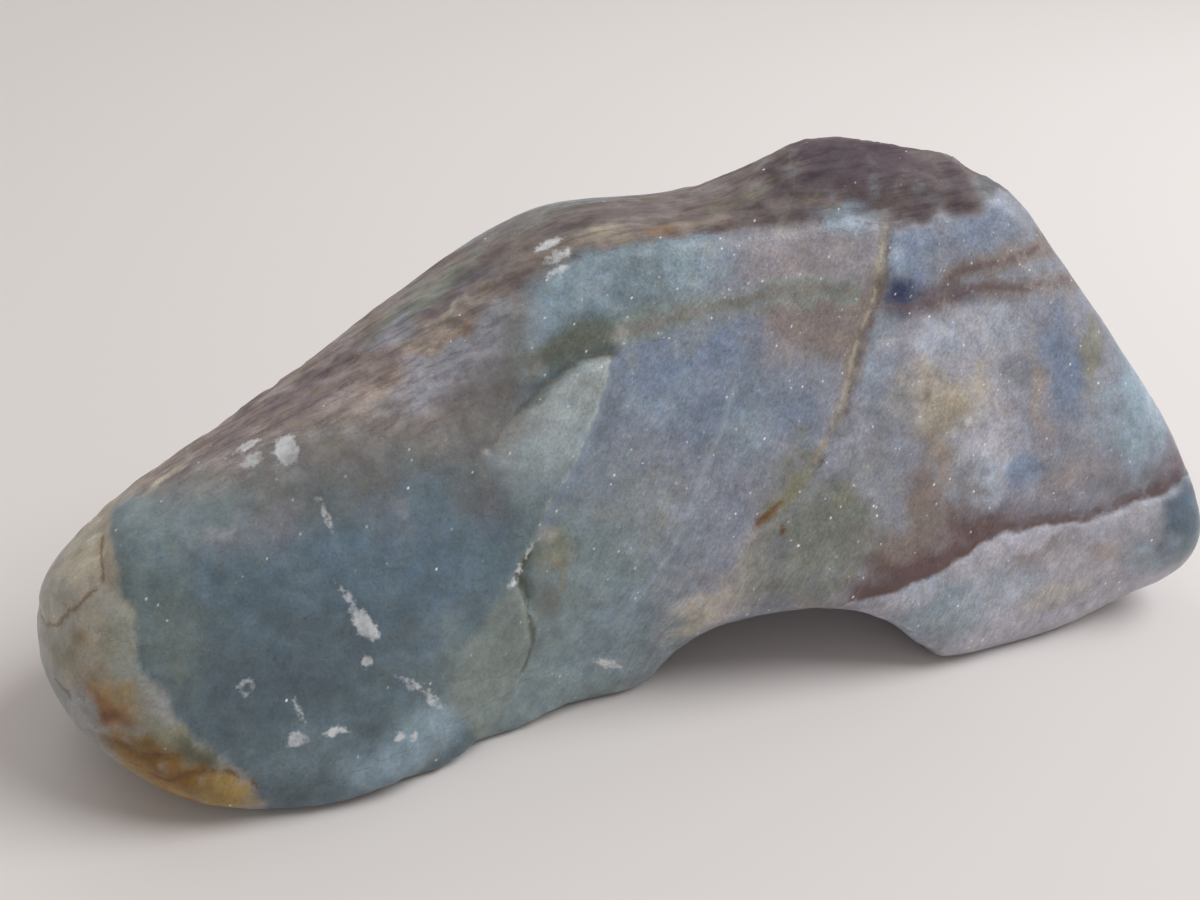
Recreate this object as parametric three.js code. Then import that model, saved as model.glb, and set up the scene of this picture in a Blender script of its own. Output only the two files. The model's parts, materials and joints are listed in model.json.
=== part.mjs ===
// Raw jade stone: one natural, water-worn piece of rough jade.
// Millimetres, +Z up, +X along the length with the rounded nose at -X, front face towards -Y.
// The stone rests on z = 0 on two flat worn patches, the belly and the foot, with a low arch
// between them that opens only towards the front.
import * as THREE from "three";
import { mergeVertices } from "three/addons/utils/BufferGeometryUtils.js";

// ---------- driving dimensions ----------
// The stone is laid out in a box of this size. It ends up a little smaller than the box, because
// its faces round into each other at the ends.
const length = 70;
const depth = 28;
const height = 28;
const edgeRounding = 1.0; // how softly two broken faces run into each other
const floorRounding = 0.3; // the same for the edge of the flat worn patches underneath
const flatTolerance = 0.02; // anything nearer the floor than this belongs to a flat patch
const ringCount = 60; // rings of points from the nose to the knob
const pointsPerRing = 64;
const endCrowding = 0.55; // 0 spaces the rings evenly, 1 crowds them fully at both ends

// Every place below is a share of the stone: along from the nose (-1) to the knob (1), across from
// the front (-1) to the back (1), and up from the resting plane (0) to the top (1).
function inStone([along, across, up]) {
  return new THREE.Vector3((along * length) / 2, (across * depth) / 2, up * height);
}

// Each broken face is flat: the direction it looks (azimuth 0 = +X, 90 = +Y; elevation 90 = up, in
// degrees) and one spot that it passes through.
const crownFaces = [
  { face: "slope just above the nose", azimuth: 170, elevation: 62, at: [-0.7, -0.25, 0.62] },
  { face: "long left slope of the top strip", azimuth: 185, elevation: 67, at: [-0.53, -0.32, 0.7] },
  { face: "steeper rise to the shoulder", azimuth: 170, elevation: 62, at: [-0.25, -0.05, 0.96] },
  { face: "top strip falling to the back", azimuth: 103, elevation: 45, at: [-0.35, 0.5, 0.86] },
  { face: "level middle of the top strip", azimuth: 95, elevation: 80, at: [0.05, 0.1, 0.96] },
  { face: "start of the right shoulder", azimuth: 0, elevation: 74, at: [0.55, -0.25, 1.02] },
];
const sideFaces = [
  { face: "front, upper part leaning back", azimuth: -92, elevation: 29, at: [0, -0.31, 0.79] },
  { face: "front, lower part", azimuth: -90, elevation: 12, at: [0, -1.12, 0] },
  { face: "front of the nose", azimuth: -105, elevation: 5, at: [-0.8, -1.08, 0.04] },
  { face: "front of the foot", azimuth: -85, elevation: 0, at: [0.6, -1.1, 0.04] },
  { face: "right shoulder", azimuth: 5, elevation: 50, at: [0.67, -0.36, 0.97] },
  { face: "steep right end", azimuth: 10, elevation: 27, at: [0.83, -0.55, 0.61] },
  { face: "right shoulder, back corner", azimuth: 50, elevation: 42, at: [0.67, 0.35, 0.88] },
  { face: "main back face", azimuth: 80, elevation: 20, at: [0.1, 0.75, 0.46] },
  { face: "back face towards the nose", azimuth: 120, elevation: 30, at: [-0.62, 0.3, 0.5] },
  { face: "undercut low on the back", azimuth: 90, elevation: -20, at: [0, 0.92, 0.15] },
  { face: "top of the nose", azimuth: 185, elevation: 40, at: [-0.88, -0.4, 0.59] },
  { face: "tip of the nose", azimuth: 185, elevation: 5, at: [-1.01, -0.2, 0.3] },
  { face: "underside of the nose", azimuth: 200, elevation: -40, at: [-0.93, -0.58, 0.08] },
  { face: "front corner of the nose", azimuth: -140, elevation: 15, at: [-0.93, -0.69, 0.25] },
  { face: "back corner of the nose", azimuth: 140, elevation: 10, at: [-0.84, 0.45, 0.28] },
  { face: "back corner of the right end", azimuth: 40, elevation: 20, at: [0.73, 0.5, 0.43] },
  { face: "flat behind the knob", azimuth: 10, elevation: -10, at: [0.93, -0.47, 0.25] },
  { face: "underside of the right end", azimuth: -10, elevation: -55, at: [0.86, -0.76, 0.02] },
  { face: "underside of the foot, right", azimuth: 5, elevation: -75, at: [0.78, -0.5, 0] },
  { face: "underside, front edge", azimuth: -95, elevation: -80, at: [0, -0.95, -0.05] },
  { face: "underside, sloping to the back", azimuth: 80, elevation: -75, at: [0, 0.45, 0] },
  { face: "underside, back edge", azimuth: 90, elevation: -50, at: [0, 0.65, 0.05] },
  { face: "underside towards the nose", azimuth: 195, elevation: -65, at: [-0.91, -0.33, 0] },
  { face: "underside of the belly, left", azimuth: 175, elevation: -75, at: [-0.8, -0.3, 0] },
];

// Rounded swellings and hollows: centre and half sizes as shares of the stone, turn about z and
// then about y in degrees, and how softly each one runs into the stone in millimetres.
const hump = { centre: [0.28, 0.25, 0.83], half: [0.25, 0.5, 0.18], turn: 0, pitch: -5, blend: 1.6 };
const knob = { centre: [0.87, -0.78, 0.18], half: [0.085, 0.23, 0.1], turn: 0, pitch: 0, blend: 0.8 };
const hollows = [
  { place: "arch", centre: [0.18, -0.8, -0.08], half: [0.25, 0.7, 0.25], turn: 0, pitch: 0, blend: 0.8 },
  { place: "front", centre: [-0.15, -1.66, 0.14], half: [0.45, 0.88, 0.46], turn: 0, pitch: 0, blend: 0.9 },
  { place: "saddle", centre: [0.08, 0.25, 1.11], half: [0.2, 0.57, 0.2], turn: 0, pitch: 0, blend: 1.5 },
  { place: "left slope", centre: [-0.6, 0.15, 0.9], half: [0.16, 0.55, 0.2], turn: 0, pitch: -20, blend: 1 },
  { place: "back scar", centre: [0.1, 1.95, 0.45], half: [0.35, 1.1, 0.32], turn: 10, pitch: 5, blend: 1.2 },
  { place: "back chip", centre: [-0.6, 1.5, 0.3], half: [0.25, 0.9, 0.3], turn: 30, pitch: 0, blend: 1.0 },
];

// The line the rings are centred on, from the tip of the nose to the tip of the knob.
const noseLine = inStone([-1.02, -0.3, 0.2]);
const bodyLine = inStone([0, 0.15, 0.7]);
const knobLine = inStone([1.04, -0.8, 0.14]);

// ---------- shape of the stone ----------
function facing(azimuth, elevation) {
  const polar = THREE.MathUtils.degToRad(90 - elevation);
  const around = THREE.MathUtils.degToRad(azimuth);
  const flat = Math.sin(polar);
  return new THREE.Vector3(flat * Math.cos(around), flat * Math.sin(around), Math.cos(polar));
}

function planesOf(faces) {
  return faces.map((item) => {
    const outward = facing(item.azimuth, item.elevation);
    return new THREE.Plane().setFromNormalAndCoplanarPoint(outward, inStone(item.at));
  });
}

const crownPlanes = planesOf(crownFaces);
const sidePlanes = planesOf(sideFaces);

// Largest of several heights, rounded off where they are close together.
function softMax(heights, radius) {
  const highest = Math.max(...heights);
  const sum = heights.reduce((total, each) => total + Math.exp((each - highest) / radius), 0);
  return highest + radius * Math.log(sum);
}

function softMin(a, b, radius) {
  return -softMax([-a, -b], radius);
}

// Height above a turned ellipsoid, negative inside.
function aboveEllipsoid(point, shape) {
  const local = point.clone().sub(inStone(shape.centre));
  local.applyAxisAngle(new THREE.Vector3(0, 0, 1), -THREE.MathUtils.degToRad(shape.turn));
  local.applyAxisAngle(new THREE.Vector3(0, 1, 0), THREE.MathUtils.degToRad(shape.pitch));
  const half = inStone(shape.half);
  const scaled = local.clone().divide(half);
  const steep = scaled.clone().divide(half).length();
  return (scaled.length() * (scaled.length() - 1)) / Math.max(steep, 1e-9);
}

// Height above the stone's surface, negative inside the stone.
function aboveStone(point) {
  const crown = softMax(crownPlanes.map((plane) => plane.distanceToPoint(point)), edgeRounding);
  const humped = softMin(crown, aboveEllipsoid(point, hump), hump.blend);
  const sides = sidePlanes.map((plane) => plane.distanceToPoint(point));
  const body = softMax([humped, ...sides], edgeRounding);
  let above = softMin(body, aboveEllipsoid(point, knob), knob.blend);
  for (const hollow of hollows) {
    above = softMax([above, -aboveEllipsoid(point, hollow)], hollow.blend);
  }
  return softMax([above, -point.z], floorRounding);
}

// ---------- skin ----------
// Walks out from an inner point until it leaves the stone, then closes in on the surface.
function surfaceFrom(inner, direction, reach) {
  let inside = 0;
  let outside = 0.25;
  while (outside < reach && aboveStone(inner.clone().addScaledVector(direction, outside)) < 0) {
    inside = outside;
    outside += 0.25;
  }
  for (let step = 0; step < 30; step += 1) {
    const middle = (inside + outside) / 2;
    if (aboveStone(inner.clone().addScaledVector(direction, middle)) < 0) {
      inside = middle;
    } else {
      outside = middle;
    }
  }
  const found = inner.clone().addScaledVector(direction, outside);
  if (found.z < flatTolerance) {
    found.z = 0;
  }
  return found;
}

const innerLine = new THREE.QuadraticBezierCurve3(noseLine, bodyLine, knobLine);

function endOfStone(from, to) {
  let inside = from;
  let outside = to;
  for (let step = 0; step < 40; step += 1) {
    const middle = (inside + outside) / 2;
    if (aboveStone(innerLine.getPoint(middle)) < 0) {
      inside = middle;
    } else {
      outside = middle;
    }
  }
  return outside;
}

const noseEnd = endOfStone(0.5, 0);
const knobEnd = endOfStone(0.5, 1);

// A sphere gives the rings; each ring is then carried out to the stone's surface.
const skin = new THREE.SphereGeometry(1, pointsPerRing, ringCount);
skin.deleteAttribute("normal");
skin.deleteAttribute("uv");
const places = skin.attributes.position;
const corner = new THREE.Vector3();
for (let index = 0; index < places.count; index += 1) {
  corner.fromBufferAttribute(places, index);
  const even = Math.acos(THREE.MathUtils.clamp(corner.y, -1, 1)) / Math.PI;
  const crowded = (1 - Math.cos(Math.PI * even)) / 2;
  const along = THREE.MathUtils.lerp(even, crowded, endCrowding);
  const inner = innerLine.getPoint(THREE.MathUtils.lerp(noseEnd, knobEnd, along));
  const ringSize = Math.hypot(corner.x, corner.z);
  if (ringSize < 1e-6) {
    places.setXYZ(index, inner.x, inner.y, inner.z);
  } else {
    const outward = new THREE.Vector3(0, corner.x / ringSize, corner.z / ringSize);
    const found = surfaceFrom(inner, outward, 60);
    places.setXYZ(index, found.x, found.y, found.z);
  }
}

const stoneShape = mergeVertices(skin, 1e-4);
stoneShape.computeBoundingBox();
const middle = stoneShape.boundingBox.getCenter(new THREE.Vector3());
stoneShape.translate(-middle.x, -middle.y, 0);
stoneShape.computeVertexNormals();

const stone = new THREE.Mesh(
  stoneShape,
  new THREE.MeshStandardMaterial({ color: 0x78878c, roughness: 0.42, metalness: 0 }),
);
stone.name = "jade_stone";

const group = new THREE.Group();
group.add(stone);

export default group;
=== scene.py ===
import json
import math

import bpy
import numpy as np
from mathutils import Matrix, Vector

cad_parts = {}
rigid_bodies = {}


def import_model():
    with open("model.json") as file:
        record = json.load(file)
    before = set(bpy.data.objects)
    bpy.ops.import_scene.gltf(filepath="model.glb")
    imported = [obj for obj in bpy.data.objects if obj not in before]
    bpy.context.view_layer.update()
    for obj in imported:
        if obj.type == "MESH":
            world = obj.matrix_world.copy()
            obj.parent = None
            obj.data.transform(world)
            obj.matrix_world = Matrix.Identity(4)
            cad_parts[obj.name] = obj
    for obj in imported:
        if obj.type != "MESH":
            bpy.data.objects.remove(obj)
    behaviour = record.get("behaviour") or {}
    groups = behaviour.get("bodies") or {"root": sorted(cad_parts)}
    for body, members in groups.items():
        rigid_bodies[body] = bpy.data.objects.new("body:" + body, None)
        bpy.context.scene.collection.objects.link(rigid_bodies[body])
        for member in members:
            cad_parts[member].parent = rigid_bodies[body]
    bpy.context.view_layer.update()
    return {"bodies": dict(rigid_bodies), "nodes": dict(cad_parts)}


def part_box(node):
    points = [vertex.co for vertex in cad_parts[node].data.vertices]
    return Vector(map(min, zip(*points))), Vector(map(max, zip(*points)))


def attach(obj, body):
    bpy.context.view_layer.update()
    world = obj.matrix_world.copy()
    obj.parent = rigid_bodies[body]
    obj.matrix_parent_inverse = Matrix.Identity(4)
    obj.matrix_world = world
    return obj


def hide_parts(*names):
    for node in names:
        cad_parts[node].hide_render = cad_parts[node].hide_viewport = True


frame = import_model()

low, high = (np.array(corner) * 1000 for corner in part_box("jade_stone"))  # millimetres
halfLength = (high[0] - low[0]) / 2
halfDepth = (high[1] - low[1]) / 2
height = high[2]
bodyName = list(frame["bodies"])[0]

# Places on the stone are shares of its box: along from the nose (-1) to the knob (1), across from
# the front (-1) to the back (1), up from the resting plane (0) to the top (1). Sizes are millimetres.


def inStone(along, across, up):
    return Vector((along * halfLength, across * halfDepth, up * height)) / 1000


viewer = {"aim": (-0.13, -0.65, 0.6), "distance": 0.0618, "turn": -18, "lookDown": 32.5, "lens": 36}


def addCamera(setup):
    turn, down = math.radians(setup["turn"]), math.radians(setup["lookDown"])
    forward = Vector((-math.sin(turn) * math.cos(down), math.cos(turn) * math.cos(down), -math.sin(down)))
    lens = bpy.data.cameras.new("stoneCamera")
    lens.lens, lens.sensor_width, lens.clip_start = setup["lens"], 36, 0.001
    camera = bpy.data.objects.new("stoneCamera", lens)
    camera.location = inStone(*setup["aim"]) - forward * setup["distance"]
    camera.rotation_euler = forward.to_track_quat("-Z", "Y").to_euler()
    bpy.context.collection.objects.link(camera)
    bpy.context.scene.camera = camera


addCamera(viewer)
print("camera set")

studio = {
    "world": (1.0, 0.935, 0.88), "worldStrength": 0.43,
    "key": {"place": (0.22, -0.05, 0.27), "size": 0.24, "power": 1.0, "colour": (0.96, 0.985, 1.0)},
    "fill": {"place": (-0.06, 0.30, 0.30), "size": 0.34, "power": 0.32, "colour": (0.96, 0.98, 1.0)},
    "floorSize": 3.0, "floorTint": (0.69, 0.655, 0.645),
}


def addSoftLight(name, setup):
    area = bpy.data.lights.new(name, "AREA")
    area.shape, area.size = "DISK", setup["size"]
    area.energy, area.color = setup["power"], setup["colour"]
    lamp = bpy.data.objects.new(name, area)
    lamp.location = setup["place"]
    lamp.rotation_euler = (Vector((0, 0, 0.01)) - lamp.location).to_track_quat("-Z", "Y").to_euler()
    bpy.context.collection.objects.link(lamp)


def addFloor(setup):
    half = setup["floorSize"] / 2
    mesh = bpy.data.meshes.new("floor")
    corners = [(-half, -half, 0), (half, -half, 0), (half, half, 0), (-half, half, 0)]
    mesh.from_pydata(corners, [], [(0, 1, 2, 3)])
    floor = bpy.data.objects.new("floor", mesh)
    bpy.context.collection.objects.link(floor)
    material = bpy.data.materials.new("paleFloor")
    material.use_nodes = True
    surface = material.node_tree.nodes["Principled BSDF"]
    surface.inputs["Base Color"].default_value = (*setup["floorTint"], 1)
    surface.inputs["Roughness"].default_value = 0.9
    surface.inputs["Specular IOR Level"].default_value = 0.2
    mesh.materials.append(material)


world = bpy.data.worlds.new("studio")
bpy.context.scene.world = world
world.use_nodes = True
world.node_tree.nodes["Background"].inputs["Color"].default_value = (*studio["world"], 1)
world.node_tree.nodes["Background"].inputs["Strength"].default_value = studio["worldStrength"]
bpy.context.scene.view_settings.view_transform = "Standard"
addSoftLight("keyLight", studio["key"])
addSoftLight("fillLight", studio["fill"])
addFloor(studio)
print("studio set")


def latticeValue(cell, seed):
    mixed = (cell[:, 0] * 73856093) ^ (cell[:, 1] * 19349663) ^ (cell[:, 2] * 83492791)
    mixed ^= seed * 40503 + 977
    mixed &= 0xFFFFFFFF
    for _ in range(2):
        mixed = (((mixed >> 16) ^ mixed) * 0x45D9F3B) & 0xFFFFFFFF
    return ((mixed >> 16) ^ mixed) / 0xFFFFFFFF * 2 - 1


def oneNoise(places, size, seed):
    scaled = places / size
    cell = np.floor(scaled).astype(np.int64)
    part = scaled - cell
    part = part * part * (3 - 2 * part)
    total = 0
    for corner in np.ndindex(2, 2, 2):
        weight = np.prod(np.where(corner, part, 1 - part), axis=1)
        total = total + weight * latticeValue(cell + np.array(corner), seed)
    return total


def cloudy(places, size, seed, octaves=3, stretch=(1, 1, 1)):
    stretched = places / np.array(stretch)
    layers = [oneNoise(stretched, size / 2 ** step, seed + step) / 2 ** step for step in range(octaves)]
    return sum(layers) * 0.8


def ease(start, end, value):
    share = np.clip((value - start) / (end - start), 0, 1)
    return share * share * (3 - 2 * share)


# The stone: its mesh, relief and finish. Sizes, rises, depths and fades are millimetres.
jadeStone = {
    "voxel": 0.271, "smoothing": 14,
    "waverSize": 2.6, "fineWaverSize": 0.9, "speckleSize": 1.3, "streakSize": 1.4,
    "swellSize": 7.0, "swellRise": 0.16, "rippleRise": 0.05, "pitRise": 0.022,
    "panelStep": 0.42, "panelFade": 3.6, "leafGroove": 0.28, "seamGroove": 0.16, "veinGroove": 0.15,
    "footRise": 0.07, "creaseGroove": 0.22, "ledgeGroove": 0.30, "foldGroove": 0.22, "panelGroove": 0.22,
    "rimRise": 0.3, "noseDent": 0.2, "veinDent": 0.15,
    "backFlake": 0.35, "backFlakeFade": 4, "backVeinGroove": 0.15, "backSeamGroove": 0.18,
    "ridgeGroove": 0.22, "stripLedges": 0.13, "ledgePitch": 1.5,
    "knobSize": 2.4, "humpKnobs": 0.20, "stripKnobs": 0.07,
    # patterns in the finish: size, detail, strength
    "cloud": (3.0, 6, 0.14), "mottle": (1.0, 7, 0.22), "grain": (0.17, 3, 0.11), "fibre": (0.14, 4, 0.16),
    "warm": (0.9, 8, 0.42), "cool": (0.8, 8, 0.50), "wisp": (0.7, 8, 0.42),
    "streak": (0.42, 8, 0.8), "paleStreak": (0.4, 7, 0.5),
    "fibreTilt": 58, "driftTilt": 60, "slopeTilt": 25, "levelTilt": 3,  # rise of the long way, degrees
    # painted glints: cell size, stretch and strength of the white crystal dots
    "paintedGlintSize": 0.24, "paintedGlintStretch": 1.7, "paintedGlintStrength": 0.95,
    "roughLow": 0.26, "roughHigh": 0.46, "stripRough": 0.38, "chalkRough": 0.3,
    "subsurface": 0.25, "subsurfaceReach": 0.7, "subsurfaceTint": (0.8, 1.0, 1.0),
    "refraction": 1.5, "specular": 0.4, "bumpStrength": 0.6, "bumpHeight": 0.032,
}


def makeSkin(setup):
    skin = frame["nodes"]["jade_stone"].data.copy()
    piece = bpy.data.objects.new("jadeSkin", skin)
    bpy.context.collection.objects.link(piece)
    places = np.empty(len(skin.vertices) * 3)
    skin.vertices.foreach_get("co", places)
    skin.vertices.foreach_set("co", places * 1000)
    remesh = piece.modifiers.new("evenMesh", "REMESH")
    remesh.mode, remesh.voxel_size, remesh.adaptivity = "VOXEL", setup["voxel"], 0
    soften = piece.modifiers.new("soften", "SMOOTH")
    soften.factor, soften.iterations = 0.5, setup["smoothing"]
    graph = bpy.context.evaluated_depsgraph_get()
    even = bpy.data.meshes.new_from_object(piece.evaluated_get(graph))
    piece.modifiers.clear()
    piece.data = even
    piece.data.name = "jadeSkin"
    return piece


def readPlaces(mesh):
    places = np.empty(len(mesh.vertices) * 3)
    mesh.vertices.foreach_get("co", places)
    return places.reshape(-1, 3)


def readNormals(mesh):
    normals = np.empty(len(mesh.vertices) * 3)
    mesh.vertex_normals.foreach_get("vector", normals)
    return normals.reshape(-1, 3)


stone = makeSkin(jadeStone)
places = readPlaces(stone.data)
normals = readNormals(stone.data)
print("skin", len(places), "points")

frontPlan = np.stack([places[:, 0], places[:, 2]], axis=1)  # looked at from the front, millimetres
topPlan = places[:, :2]  # looked at from above
endPlan = places[:, 1:]  # looked at from the knob end
alongShare = places[:, 0] / halfLength
acrossShare = places[:, 1] / halfDepth
upShare = places[:, 2] / height
waver = cloudy(places, jadeStone["waverSize"], 11, 4)
fineWaver = cloudy(places, jadeStone["fineWaverSize"], 21, 3)
speckle = cloudy(places, jadeStone["speckleSize"], 71, 4)
streaks = cloudy(places, jadeStone["streakSize"], 61, 4, stretch=(4.0, 1.0, 0.8))


def stonePlan(spot, plan):
    if plan is endPlan:
        return np.array([spot[0] * halfDepth, spot[1] * height])
    return np.array([spot[0] * halfLength, spot[1] * (height if plan is frontPlan else halfDepth)])


# How far a point lies from a line of spots (positive on its left) and how far along the line that is.
def lineDistance(spots, plan=frontPlan, bend=0.2):
    wavy = plan + bend * np.stack([waver, fineWaver], axis=1)
    corners = [stonePlan(spot, plan) for spot in spots]
    nearest = np.full(len(plan), 1e9)
    side, share = np.ones(len(plan)), np.zeros(len(plan))
    for index, (start, end) in enumerate(zip(corners, corners[1:])):
        step = end - start
        along = np.clip(((wavy - start) @ step) / (step @ step), 0, 1)
        offset = wavy - start - along[:, None] * step
        distance = np.hypot(offset[:, 0], offset[:, 1])
        closer = distance < nearest
        nearest[closer] = distance[closer]
        side[closer] = np.where(step[0] * offset[:, 1] > step[1] * offset[:, 0], 1, -1)[closer]
        share[closer] = ((index + along) / (len(corners) - 1))[closer]
    return nearest * side, share


# The brown strip along the top ends at this edge: (along, across).
stripEdge = [(-1.0, 0.02), (-0.87, -0.10), (-0.80, -0.19), (-0.70, -0.26), (-0.60, -0.37), (-0.50, -0.36),
             (-0.40, -0.37), (-0.30, -0.40), (-0.24, -0.34), (-0.20, -0.19), (-0.15, -0.12), (0.0, -0.11),
             (0.1, -0.11), (0.2, -0.14), (0.3, -0.165), (0.4, -0.19), (0.5, -0.22), (0.6, -0.20),
             (0.68, -0.10), (0.8, 0.05), (1.0, 0.3)]
behindEdge, stripShare = lineDistance(stripEdge, topPlan)
stripBlur = 0.25 + 1.1 * ease(0.56, 0.44, stripShare)  # crisp under the ridge, blurred over the panel
towardsFront = ease(0.15, -0.15, normals[:, 1] + 0.05 * waver)
onTop = ease(-1, 1, (behindEdge + 0.9 * waver * stripBlur) / stripBlur) * ease(0.30, 0.52, normals[:, 2])
onTop *= ease(0.42, 0.30, acrossShare + 0.1 * waver)
onTop *= np.maximum(ease(0.72, 0.86, upShare + 0.08 * speckle), ease(0.60, 0.50, alongShare))
onFront = np.maximum(towardsFront, ease(0.5, -0.5, behindEdge)) * (1 - onTop)
onBack = (1 - onFront) * (1 - onTop)
onEnd = ease(0.66, 0.80, normals[:, 0] + 0.05 * waver)

# Broken edges, seams and veins on the front and, from backVein on, the back: (along, up).
structure = {
    "leafTop": [(-0.065, 0.715), (-0.12, 0.708), (-0.175, 0.68), (-0.225, 0.645), (-0.285, 0.585)],
    "panelEdge": [(-0.065, 0.715), (-0.085, 0.66), (-0.125, 0.585), (-0.175, 0.51), (-0.235, 0.425),
                  (-0.275, 0.37), (-0.262, 0.31), (-0.258, 0.22), (-0.29, 0.12), (-0.35, 0.02)],
    "scarEdge": [(-0.29, 0.36), (-0.37, 0.26), (-0.41, 0.16), (-0.37, 0.06)],
    "noseEdge": [(-0.87, 0.62), (-0.845, 0.52), (-0.85, 0.45), (-0.83, 0.42), (-0.825, 0.33), (-0.81, 0.25),
                 (-0.775, 0.19), (-0.72, 0.13), (-0.70, 0.0)],
    "noseCrease": [(-0.855, 0.60), (-0.86, 0.52), (-0.865, 0.455), (-0.90, 0.42), (-0.94, 0.37),
                   (-0.985, 0.32)],
    "noseFold": [(-0.87, 0.135), (-0.83, 0.115), (-0.79, 0.14), (-0.74, 0.125), (-0.71, 0.10)],
    "noseLedge": [(-0.955, 0.25), (-0.90, 0.185), (-0.86, 0.165), (-0.81, 0.165), (-0.77, 0.15)],
    "seam": [(0.455, 0.935), (0.43, 0.88), (0.40, 0.78), (0.36, 0.70), (0.32, 0.61), (0.28, 0.53),
             (0.23, 0.465), (0.18, 0.42), (0.125, 0.385)],
    "oliveLine": [(-0.20, 0.71), (-0.12, 0.745), (0.0, 0.75), (0.1, 0.765), (0.22, 0.78), (0.34, 0.77)],
    "upperVein": [(0.41, 0.725), (0.48, 0.725), (0.57, 0.74), (0.66, 0.735), (0.78, 0.725), (0.92, 0.73)],
    "upperVeinTwin": [(0.53, 0.765), (0.60, 0.78), (0.68, 0.79), (0.76, 0.805), (0.84, 0.825), (0.92, 0.84)],
    "lowerVein": [(0.29, 0.205), (0.36, 0.215), (0.44, 0.235), (0.50, 0.262), (0.57, 0.287), (0.66, 0.285),
                  (0.75, 0.278), (0.83, 0.30), (0.92, 0.315)],
    "paleDiagonal": [(-0.06, 0.30), (0.02, 0.43), (0.07, 0.53), (0.12, 0.63)],
    "backVein": [(0.92, 0.34), (0.75, 0.40), (0.58, 0.37), (0.40, 0.44), (0.22, 0.42), (0.05, 0.50),
                 (-0.12, 0.47), (-0.30, 0.52)],
    "backSeam": [(0.22, 0.90), (0.14, 0.72), (0.02, 0.55), (-0.06, 0.36), (-0.20, 0.20), (-0.26, 0.06)],
    "backLedge": [(-0.42, 0.66), (-0.50, 0.50), (-0.46, 0.34), (-0.56, 0.20), (-0.60, 0.05)],
}
lines = {name: lineDistance(spots) for name, spots in structure.items()}
lines["stripEdge"] = (behindEdge, stripShare)
pastPanel, edgeShare = lines["panelEdge"]  # positive on the knob side of the broken edge
aboveVein = lines["lowerVein"][0]


def groove(name, depth, width, start=-0.1, end=1.1):
    distance, share = lines[name]
    inRange = ease(start - 0.03, start + 0.03, share) * ease(end + 0.03, end - 0.03, share)
    return -depth * np.exp(-(distance / width) ** 2) * inRange


def lump(along, second, plan, longHalf, shortHalf):
    offset = plan - stonePlan((along, second), plan)
    return np.exp(-(offset[:, 0] / longHalf) ** 2 - (offset[:, 1] / shortHalf) ** 2)


lift = jadeStone["swellRise"] * cloudy(places, jadeStone["swellSize"], 31)
lift += jadeStone["rippleRise"] * waver + jadeStone["pitRise"] * fineWaver
stepDown = jadeStone["panelStep"] * ease(1.0, 0.90, edgeShare) * ease(0.0, 0.24, edgeShare)
stepDown *= ease(-0.1, 0.2, pastPanel) * np.exp(-np.maximum(pastPanel, 0) / jadeStone["panelFade"])
frontLift = groove("leafTop", jadeStone["leafGroove"], 0.3) - stepDown
frontLift += groove("seam", jadeStone["seamGroove"], 0.35)
frontLift += groove("noseCrease", jadeStone["creaseGroove"], 0.4)
frontLift += groove("noseLedge", jadeStone["ledgeGroove"], 0.4, 0.22)
frontLift += groove("noseFold", jadeStone["foldGroove"], 0.4)
frontLift += groove("panelEdge", jadeStone["panelGroove"], 0.3, 0.44, 0.66)
frontLift += groove("lowerVein", jadeStone["veinGroove"], 0.32)
frontLift += jadeStone["footRise"] * ease(0.0, -0.5, aboveVein) * ease(0.25, 0.4, alongShare)
frontLift += jadeStone["rimRise"] * lump(-0.82, 0.5, frontPlan, 1.6, 1.0)
frontLift -= jadeStone["noseDent"] * lump(-0.885, 0.23, frontPlan, 0.8, 0.6)
frontLift -= jadeStone["veinDent"] * lump(0.425, 0.745, frontPlan, 0.8, 0.6)
lift += onFront * frontLift
pastLedge, ledgeShare = lines["backLedge"]
flake = ease(-0.1, 0.3, pastLedge) * ease(0.0, 0.2, ledgeShare)
flake *= np.exp(-np.maximum(pastLedge, 0) / jadeStone["backFlakeFade"])
backLift = groove("backVein", jadeStone["backVeinGroove"], 0.35) - jadeStone["backFlake"] * flake
lift += onBack * (backLift + groove("backSeam", jadeStone["backSeamGroove"], 0.35))
lift += groove("stripEdge", jadeStone["ridgeGroove"], 0.3, 0.50, 0.72) * ease(0.2, 0.5, normals[:, 2])

# The strip splits in thin layers; over the hump it is knobbly.
layerPlace = (places[:, 1] * 0.75 + places[:, 2] * 0.35 + 1.3 * waver) / jadeStone["ledgePitch"]
layerEdge = np.abs(layerPlace - np.round(layerPlace)) * 2
knobs = 0.5 - np.abs(cloudy(places, jadeStone["knobSize"], 51, 4, stretch=(1.8, 1, 1))) * 1.6
onHump = ease(0.16, 0.30, alongShare) * ease(0.80, 0.66, alongShare) * ease(0.70, 0.84, upShare)
ledges = (ease(0, 1, layerEdge) - 0.5) * (0.7 + cloudy(places, 4, 41))
lift += jadeStone["stripLedges"] * ledges * onTop * (1 - 0.8 * onHump)
lift += onHump * (0.25 + 0.75 * onTop) * jadeStone["humpKnobs"] * knobs
lift += jadeStone["stripKnobs"] * onTop * (knobs - 0.2)
lift *= ease(0.0, 1.2, places[:, 2])
shaped = places + normals * lift[:, None]
shaped[:, 2] = np.maximum(shaped[:, 2], 0)
stone.data.vertices.foreach_set("co", (shaped / 1000).ravel())
stone.data.shade_smooth()
stone.data.update()
print("relief cut")

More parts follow.
